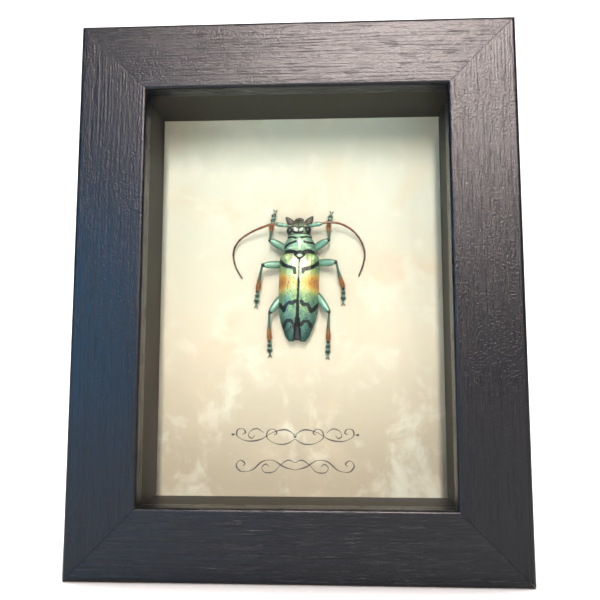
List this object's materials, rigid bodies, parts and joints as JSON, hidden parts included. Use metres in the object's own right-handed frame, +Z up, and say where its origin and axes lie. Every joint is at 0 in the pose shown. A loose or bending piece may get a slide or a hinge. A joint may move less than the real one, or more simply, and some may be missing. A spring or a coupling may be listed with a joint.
{
  "type": "framed longhorn beetle specimen",
  "caption": "Longhorn beetle with spread legs on a parchment card, behind glass in a deep black-stained wooden box frame that stands or hangs.",
  "frame": {"origin": "middle of the frame's footprint, on the surface that it stands on", "axes": "+Z up the frame from the beetle's tail to its head, -Y out of the glass towards the viewer, +X to the viewer's right"},
  "size_m": [0.1016, 0.0372, 0.127],
  "materials": {
    "stained_wood": "open-grained wood, black stain with a satin topcoat",
    "pane": "clear float glass",
    "liner": "dark brown-black paper-faced liner strip",
    "parchment": "cream parchment paper with pale mottling",
    "grey_board": "plain grey board",
    "hardboard": "smooth brown hardboard",
    "steel": "plain steel",
    "insect_shell": "dried insect shell, pale green with black bands and orange flanks"
  },
  "bodies": {
    "root": {"rail_top": "stained_wood", "rail_bottom": "stained_wood", "rail_left": "stained_wood", "rail_right": "stained_wood", "glass": "pane", "spacer_top": "liner", "spacer_bottom": "liner", "spacer_left": "liner", "spacer_right": "liner", "card": "parchment", "mount_board": "grey_board", "backing_board": "hardboard", "point_top": "steel", "point_bottom": "steel", "point_left_upper": "steel", "point_left_lower": "steel", "point_right_upper": "steel", "point_right_lower": "steel", "hanger": "steel", "hanger_nail_left": "steel", "hanger_nail_right": "steel", "beetle": "insect_shell"}
  },
  "joints": []
}
